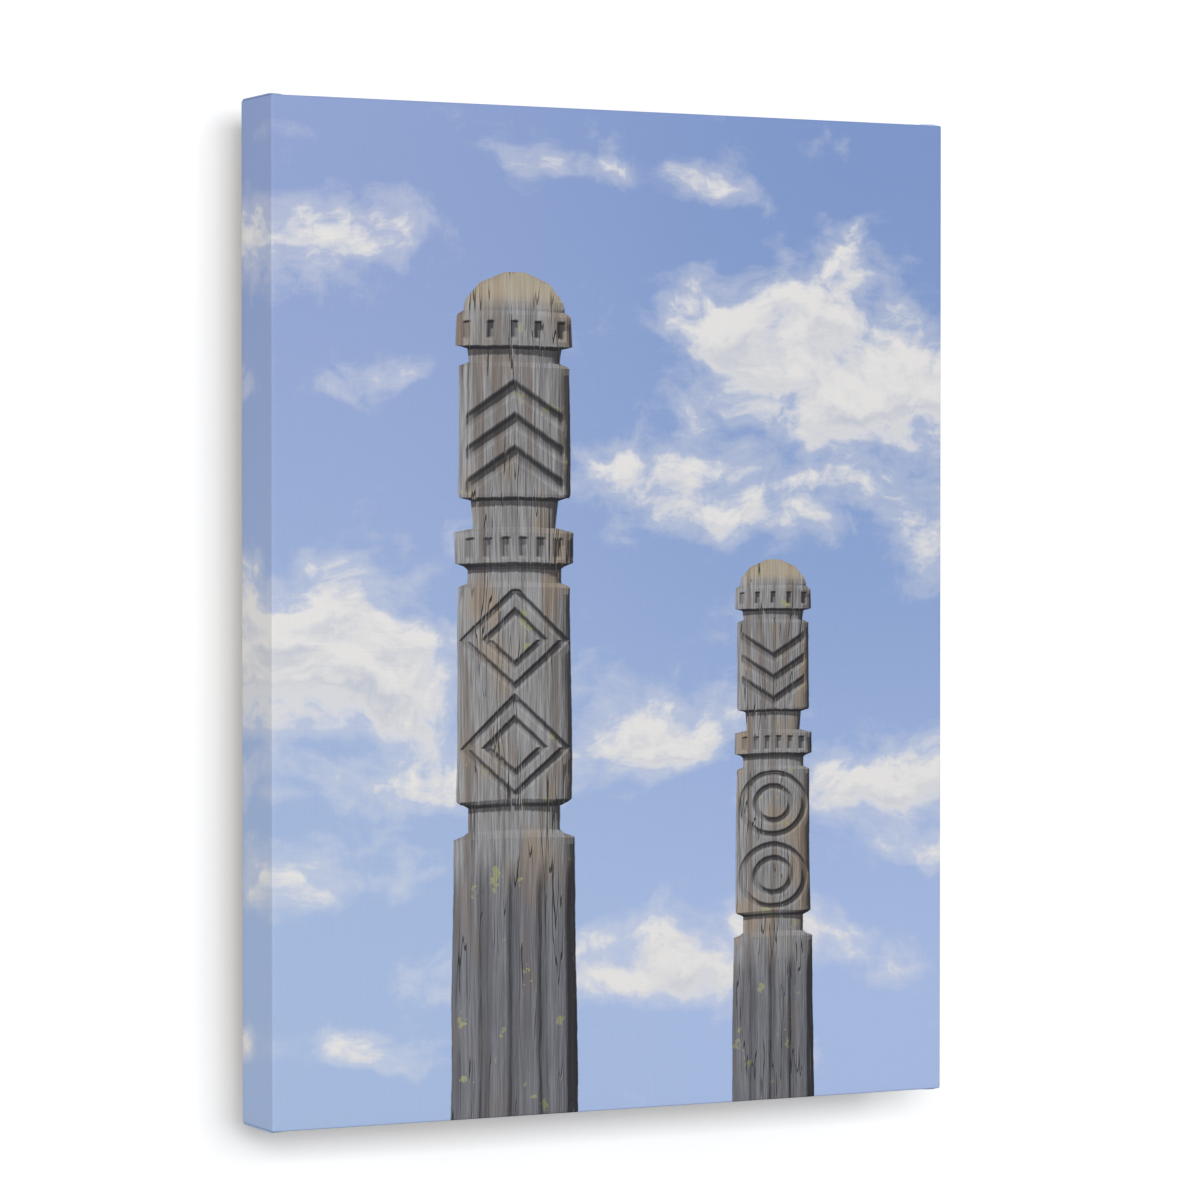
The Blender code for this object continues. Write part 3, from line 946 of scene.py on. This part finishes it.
def relief(across, up, far):
    """The timber's surface towards the viewer, in half widths, with how far inside the post's
    outline the place is, where it is cracked, and how deep it is carved."""
    width = half_width(up)
    share = abs(across) / width
    body = maths("POWER", largest(1.0 - maths("POWER", share, 3.5), 0.0), 0.5) * width * 0.8
    place = (across + far * 5.0, up + far * 3.0)
    split = noise_of((place[0] * 4.2, place[1] * 0.22), roughness=0.6)
    cracked = smooth(noise_of((place[0], place[1] * 0.4), 1.0, scale=1.3), 0.44, 0.60)
    crack = smooth(abs(split - 0.5), 0.014, 0.003) * cracked
    fibre = noise_of((place[0] * 30.0, place[1] * 1.1), 4.0, 0.6)
    depth = carving(across, up, far)
    height = body - depth - crack * 0.16 + (fibre - 0.5) * 0.06
    return [height, width - abs(across), crack, depth]


def post_place(x, z):
    """Places in the nearer post's own measure, or past the middle of the gap the further one's."""
    (near_x, near_top, near_half), (far_x, far_top, far_half) = POSTS
    far = maths("GREATER_THAN", x, (near_x + far_x) / 2)
    near = 1.0 - far
    half = near * near_half + far * far_half
    across = (x - (near * near_x + far * far_x)) / half
    up = (z - (near * near_top + far * far_top)) / half
    return across, up, far


# How far towards the sun the relief is read again to find its slope, in half widths
LIGHT_STEP = 0.022


def timber(x, z, surface):
    """The posts' colour, and 1 where there is post."""
    across, up, far = post_place(x, z)
    wander = noise_of((across * 0.8, up * 0.5 + far * 9.0))
    rough = noise_of((across * 7.0, up * 7.0))
    across = across + (wander - 0.5) * 0.07 + (rough - 0.5) * 0.012
    up = up + (rough - 0.5) * 0.03 + abs(across) * 0.03
    height, inside, crack, depth = from_group(surface, across, up, far)
    # Sunlight from the upper left lights what slopes towards it, and what stands higher there
    # casts a shadow
    towards = from_group(surface, across - LIGHT_STEP * 0.45, up + LIGHT_STEP, far)[0]
    slope = (height - towards) / LIGHT_STEP
    facing = (0.62 + slope * 0.36) / maths("SQRT", 1.0 + slope * slope * 0.5)
    shading = from_group(surface, across - 0.06, up + 0.13, far)[0]
    shadow = smooth(shading - height, 0.05, 0.13)
    light = smooth(facing, -0.35, 1.0) * (1.0 - shadow * 0.72)
    # Weathered timber: grey, browner in broad patches and streaks, bluish at the foot
    place = across + far * 7.0
    grain = noise_of((place * 26.0, up * 0.9), 5.0, 0.65)
    patch = noise_of((place * 1.1, up * 0.55))
    streak = noise_of((place * 4.5, up * 0.22))
    tone = mixed(smooth(grain, 0.3, 0.7), ink(122, 121, 122), ink(170, 170, 172))
    tone = mixed(smooth(patch, 0.50, 0.70) * 0.6, tone, ink(164, 143, 118))
    tone = mixed(smooth(streak, 0.52, 0.66) * 0.55, tone, ink(108, 92, 79))
    tone = mixed(smooth(up, -8.6, -10.5) * 0.6, tone, ink(98, 102, 114))
    tone = mixed(smooth(up, -0.62, -0.3) * 0.55, tone, ink(190, 172, 140))
    lichen = smooth(noise_of((place * 1.7 + 3.0, up * 1.7), 4.0, 0.7), 0.668, 0.70)
    tone = mixed(lichen * 0.7, tone, ink(168, 170, 118))
    unlit = 1.0 - light * (1.05 - depth * 2.2)
    tone = mixed(largest(unlit, crack * 0.85), tone, ink(16, 15, 22))
    return tone, smooth(inside, 0.0, 0.02) * maths("LESS_THAN", up, 0.0)


# How far from a post's outline a face of the sheet may still show it, as a share of the width
POST_MARGIN = 0.02


def shows_post(x, z):
    """Whether a place in the picture, in shares of its width, is on a post or close to one."""
    widest = max(width for _, width in OUTLINE)
    return any(abs(x - middle) < widest * half + POST_MARGIN and z < top + POST_MARGIN
               for middle, top, half in POSTS)


# Materials

# From one yarn of the weave to the next, and how unevenly and how softly the ink ends, in metres
WEAVE_PITCH = 0.00052
INK_BLEED = 0.0003
INK_BLUR = 0.00008


def weave(x, z):
    """The height of a plain weave's yarns: 0 in its gaps, and about 1 on the yarns' backs."""
    turn_x = maths("SINE", x * (math.pi / WEAVE_PITCH))
    turn_z = maths("SINE", z * (math.pi / WEAVE_PITCH))
    over = maths("GREATER_THAN", turn_x * turn_z, 0.0)
    slub_x = noise_of((x * 900, z * 60), 1.0)
    slub_z = noise_of((x * 60, z * 900), 1.0)
    upright = abs(turn_x) * (0.75 + slub_x * 0.5)
    level = abs(turn_z) * (0.75 + slub_z * 0.5)
    return over * upright + (1.0 - over) * level


def bare_cloth(x, z, yarns):
    """The colour of unprinted canvas: off-white, with painted shade in the gaps between the yarns
    and a few brown flecks.
    """
    shade = mixed(noise_of((x, z), 3.0, scale=25.0), ink(228, 221, 206), ink(236, 231, 219))
    # Painted shade in the gaps between the yarns
    shade = mixed(smooth(yarns, 0.45, 0.05) * 0.55, shade, ink(176, 165, 146))
    fleck = smooth(noise_of((x * 2, z), scale=420.0), 0.735, 0.78)
    return mixed(fleck * 0.7, shade, ink(139, 116, 84))


def cloth_material():
    finish = Finish("bare_canvas")
    x, z = finish.cloth_place("cloth")
    yarns = weave(x, z)
    shade = bare_cloth(x, z, yarns)
    finish.set(Base_Color=shade, Roughness=0.88, Specular_IOR_Level=0.25)
    finish.bump(yarns, 0.00012, 0.8)
    return finish.material


def print_materials():
    """The print, as one material for open sky and one for the faces that show a post as well."""
    density = node_group("cloud density", ["x", "z"], ["density"], cloud_density)
    surface = node_group("post relief", ["across", "up", "far"],
                         ["height", "inside", "crack", "depth"], relief)
    return [print_material("printed_sky", density),
            print_material("printed_posts", density, surface)]


def print_material(name, density, surface=None):
    finish = Finish(name)
    x, z = (place / (2 * PICTURE_HALF_X) for place in finish.cloth_place("picture"))
    printed = sky(x, z, density)
    if surface:
        tone, there = timber(x, z, surface)
        printed = mixed(there, printed, tone)
    cloth_x, cloth_z = finish.cloth_place("cloth")
    yarns = weave(cloth_x, cloth_z)
    past_edge = largest(abs(cloth_x) - PICTURE_HALF_X, abs(cloth_z) - PICTURE_HALF_Z)
    bleed = (noise_of((cloth_x, cloth_z), 1.0, scale=1800.0) - 0.5) * INK_BLEED
    limit = FLAP_WAY + INK_RUN - BEND_RUN / 2
    without_ink = smooth(past_edge + bleed, limit - INK_BLUR, limit + INK_BLUR)
    # Painted shade in the gaps between the yarns, darkening the print there
    gap_shade = (1.0 - yarns) * 0.16
    tone = mixed(gap_shade, mixed(without_ink, printed, ink(233, 227, 214)), ink(60, 60, 64))
    finish.set(Base_Color=tone, Roughness=0.56, Specular_IOR_Level=0.3)
    finish.bump(yarns, 0.00006, 0.35)
    return finish.material


def metal_material(name, colour, dull_colour, roughness):
    """Plated steel with dull patches and fine rubbed lines."""
    finish = Finish(name)
    x, y, z = finish.world_place()
    patch = smooth(noise_of((x, y, z), 4.0, 0.6, scale=420.0), 0.42, 0.66)
    rubbed = noise_of((x * 260, y * 3800, z * 3800), roughness=0.6)
    finish.set(Base_Color=mixed(patch * 0.7, colour, dull_colour), Metallic=1.0,
               Roughness=roughness + patch * 0.16 + (rubbed - 0.5) * 0.22)
    finish.bump(rubbed + patch * 0.4, 0.00002, 0.6)
    return finish.material


BOARDS = {
    # pith across the bar and behind it, drift of the pith along the bar in both directions, ring
    # pitch, and knots as places along and across the bar with half their length: in millimetres
    "top": (-47.0, 24.0, 0.026, 0.010, 2.7, ((86.0, 5.0, 3.8),)),
    "bottom": (3.0, 27.0, -0.030, 0.052, 3.0, ((-62.0, -7.0, 4.2),)),
    "left": (29.0, 15.0, 0.022, 0.040, 2.9, ((-96.0, 4.0, 3.9), (71.0, -9.0, 2.2))),
    "right": (-15.0, 46.0, -0.030, -0.012, 3.2, ((28.0, -3.0, 4.6),)),
}


def pine_material(edge):
    """Planed pine: growth rings round a pith beside the bar, fine fibres and small knots."""
    finish = Finish(f"pine_{edge}")
    pith_across, pith_behind, drift_across, drift_behind, pitch, knots = BOARDS[edge]
    middle = middle_of(f"stretcher_bar_{edge}") * 1000
    x, y, z = (place * 1000 for place in finish.world_place())
    level = edge in ("top", "bottom")
    run = x - middle.x if level else z - middle.z
    width = z - middle.z if level else x - middle.x
    wander = noise_of((run * 0.0045, width * 0.01, y * 0.01 + pith_across))
    across = width - pith_across + run * drift_across + (wander - 0.5) * 16
    knotted = dark = 0.0
    for knot_run, knot_width, half in knots:
        along = (run - knot_run) / (half * 1.35)
        aside = (width - knot_width) / half
        square = along * along + aside * aside
        across = across + aside * maths("EXPONENT", square * -0.30) * half * 1.1
        uneven = noise_of((run * 0.35, width * 0.35, y * 0.1))
        way = maths("SQRT", square) + (uneven - 0.5) * 0.5
        knotted = largest(smooth(way, 1.25, 0.80), knotted)
        rim = smooth(abs(way - 0.95), 0.13, 0.02) * smooth(uneven, 0.35, 0.6)
        dark = largest(largest(rim, smooth(way, 0.5, 0.0) * 0.7), dark)
    deep = y - middle.y + pith_behind + run * drift_behind
    ring = maths("SQRT", across * across + deep * deep) / pitch
    ring = ring + (noise_of((ring * 0.5, ring * 0.0 + pith_across)) - 0.5) * 1.5
    place = saw(ring)
    late = smooth(place, 0.25, 0.95) * smooth(place, 1.0, 0.95)
    strength = 0.40 + noise_of((maths("FLOOR", ring) * 3.7, run * 0.004), 1.0) * 0.7
    fibre = noise_of((run * 0.04, width * 1.6, y * 1.6), 3.0, 0.6)
    streak = noise_of((run * 0.03, width * 0.9, y * 0.9 + pith_across))
    patch = noise_of((run * 0.012, width * 0.04, y * 0.04 + pith_across))
    tone = mixed(patch, ink(232, 208, 166), ink(222, 192, 146))
    tone = mixed(late * strength * 0.8, tone, ink(196, 148, 94))
    tone = mixed((fibre - 0.35) * 0.42, tone, ink(172, 128, 82))
    tone = mixed(smooth(streak, 0.62, 0.74) * 0.28, tone, ink(158, 112, 68))
    tone = mixed(knotted * (0.6 + late * 0.25), tone, ink(170, 116, 70))
    tone = mixed(dark * 0.75, tone, ink(112, 68, 40))
    finish.set(Base_Color=tone, Roughness=0.64 - late * 0.12, Specular_IOR_Level=0.35)
    finish.bump(fibre * 0.6 + late * 0.5 + knotted * 0.3, 0.00010, 0.6)
    return finish.material


def clad(node, material):
    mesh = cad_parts[node].data
    mesh.materials.clear()
    mesh.materials.append(material)


# The stage, the lights and the camera

# The wall in squares round the print's middle, each as its half width and its distance behind the
# hanger. The photo's shadow falls as from a print that hangs a little off the wall. Further out the
# wall comes forward, and hides that gap and its shadow in a view from the side.
WALL_SQUARES = ((0.40, 0.026), (0.66, 0.0001), (3.0, 0.0001))
WALL_WHITE = (1.085, 1.095, 1.11, 1.0)
FLOOR_Z = -1.0

# The light from all sides, and how bright the room is where the camera sees it
WORLD_LIGHT = 0.33
SEEN_WORLD = 0.9

# Lamps far in front: how far sideways and how far up each one reaches, for each metre in front,
# and watts
LAMP_DISTANCE = 8.0
FRONT_LAMPS = {
    "key": ((-0.605, 0.14), (0.03, 0.35), 340),
    "left_key": ((-0.605, -0.25), (0.16, 0.36), 150),
    "wide_key": ((-0.30, 0.30), (-0.05, 0.48), 76),
}

# Lamps behind the wall: offset from the print's front, size and watts
BACK_LAMPS = {
    "left_lamp": ((-3, 1.1, 0.5), 1.5, 38),
    "back_lamp": ((2.2, 2.0, 2.0), 0.9, 70),
}
DIRECT_RAY_DEPTH = 1.5


def show_to_camera_alone(plane):
    """Keeps the plane's own light and shadow off the part."""
    for ray in ("diffuse", "glossy", "transmission", "volume_scatter", "shadow"):
        setattr(plane, f"visible_{ray}", False)


def make_wall():
    """A white wall that can't be seen from behind."""
    corners = ((-1, -1), (1, -1), (1, 1), (-1, 1))
    points = [(side * half, back, PRINT_MIDDLE + end * half)
              for half, back in WALL_SQUARES for side, end in corners]
    faces = [(0, 1, 2, 3)]
    for first in range(0, len(points) - 4, 4):
        for corner in range(4):
            inner, inner_next = first + corner, first + (corner + 1) % 4
            faces.append((inner + 4, inner_next + 4, inner_next, inner))
    wall = mesh_piece("wall", points, faces)
    show_to_camera_alone(wall)
    material = bpy.data.materials.new("white_wall")
    material.use_nodes = True
    tree = material.node_tree
    tree.nodes.clear()
    paint, clear, place, choice, end = (tree.nodes.new(f"ShaderNode{kind}") for kind in (
        "BsdfDiffuse", "BsdfTransparent", "NewGeometry", "MixShader", "OutputMaterial"))
    paint.inputs["Color"].default_value = WALL_WHITE
    tree.links.new(place.outputs["Backfacing"], choice.inputs[0])
    tree.links.new(paint.outputs[0], choice.inputs[1])
    tree.links.new(clear.outputs[0], choice.inputs[2])
    tree.links.new(choice.outputs[0], end.inputs[0])
    wall.data.materials.append(material)


def make_floor():
    bpy.ops.mesh.primitive_plane_add(size=6, location=(0, 0, FLOOR_Z))
    floor = bpy.context.object
    floor.name = "floor"
    show_to_camera_alone(floor)
    finish = Finish("pale_floor")
    x, y, z = finish.world_place()
    grain = noise_of((x, y, z), 4.0, scale=30.0)
    finish.set(Base_Color=mixed(grain, ink(226, 226, 226), ink(236, 236, 236)), Roughness=0.7)
    floor.data.materials.append(finish.material)


def area_light(name, offset, size, watts, forward):
    """A soft lamp at an offset from the print's front, which shines along forward."""
    data = bpy.data.lights.new(name, "AREA")
    data.shape = "RECTANGLE"
    data.size, data.size_y = size
    data.energy = watts
    lamp = link(name, data)
    lamp.location = Vector((0, PRINT_FRONT, PRINT_MIDDLE)) + offset
    lamp.rotation_euler = forward.to_track_quat("-Z", "Y").to_euler()
    lamp.visible_camera = False
    return data


def keep_direct(lamp):
    """Lets the lamp's light go no further than what it shines at."""
    lamp.use_nodes = True
    tree = lamp.node_tree
    seen = tree.nodes.new("ShaderNodeLightPath")
    direct = maths("LESS_THAN", Field(seen.outputs["Ray Depth"]), DIRECT_RAY_DEPTH)
    feed(tree.nodes["Emission"].inputs["Strength"], direct)


def make_light():
    """Three lamps in front, whose shadow on the wall is dark by the print's left and lower edges
    and fades outwards, and two behind the wall that light the side and the back."""
    for name, (across, up, watts) in FRONT_LAMPS.items():
        middle = Vector((sum(across) / 2, -1, sum(up) / 2)) * LAMP_DISTANCE
        size = [(high - low) * LAMP_DISTANCE for low, high in (across, up)]
        area_light(name, middle, size, watts, Vector((0, 1, 0)))
    for name, (offset, size, watts) in BACK_LAMPS.items():
        keep_direct(area_light(name, Vector(offset), (size, size), watts, -Vector(offset)))
    world = bpy.data.worlds.new("white_room")
    world.use_nodes = True
    nodes = world.node_tree.nodes
    seen = nodes.new("ShaderNodeLightPath")
    by_camera = Field(seen.outputs["Is Camera Ray"])
    background = nodes["Background"]
    background.inputs["Color"].default_value = (1.0, 1.0, 1.0, 1.0)
    feed(background.inputs["Strength"], WORLD_LIGHT + by_camera * (SEEN_WORLD - WORLD_LIGHT))
    bpy.context.scene.world = world
    bpy.context.scene.view_settings.view_transform = "Standard"


def make_camera():
    data = bpy.data.cameras.new("camera")
    data.sensor_width = SENSOR_WIDTH
    data.lens = CAMERA_LENS
    camera = link("camera", data)
    way = Vector((math.sin(CAMERA_YAW) * math.cos(CAMERA_PITCH),
                  math.cos(CAMERA_YAW) * math.cos(CAMERA_PITCH), math.sin(CAMERA_PITCH)))
    camera.location = CAMERA_TARGET - way * CAMERA_DISTANCE
    camera.rotation_euler = way.to_track_quat("-Z", "Y").to_euler()
    bpy.context.scene.camera = camera


def ride_root(piece):
    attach(piece, "root")


def main():
    make_camera()
    make_wall()
    make_floor()
    make_light()

    bare = cloth_material()
    canvas = make_canvas(print_materials() + [bare])
    yarns = make_yarn_ends(bare)
    ride_root(canvas)
    ride_root(yarns)
    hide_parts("canvas")
    bars = [f"stretcher_bar_{edge}" for edge in ("top", "bottom", "left", "right")]
    2 * (BEND_X + WHOLE_WAY)
    2 * (BEND_Z + WHOLE_WAY)

    wire = metal_material("zinc_wire", ink(214, 216, 219), ink(176, 178, 182), 0.30)
    plated = metal_material("zinc_plate", ink(216, 215, 208), ink(182, 180, 174), 0.28)
    bright = metal_material("bright_steel", ink(206, 206, 202), ink(160, 158, 154), 0.34)
    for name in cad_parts:
        if name in bars:
            clad(name, pine_material(name.rsplit("_", 1)[1]))
        elif name.startswith("staple"):
            clad(name, wire)
        elif name == "hanger":
            clad(name, plated)
        elif name.startswith("hanger_nail"):
            clad(name, bright)


main()
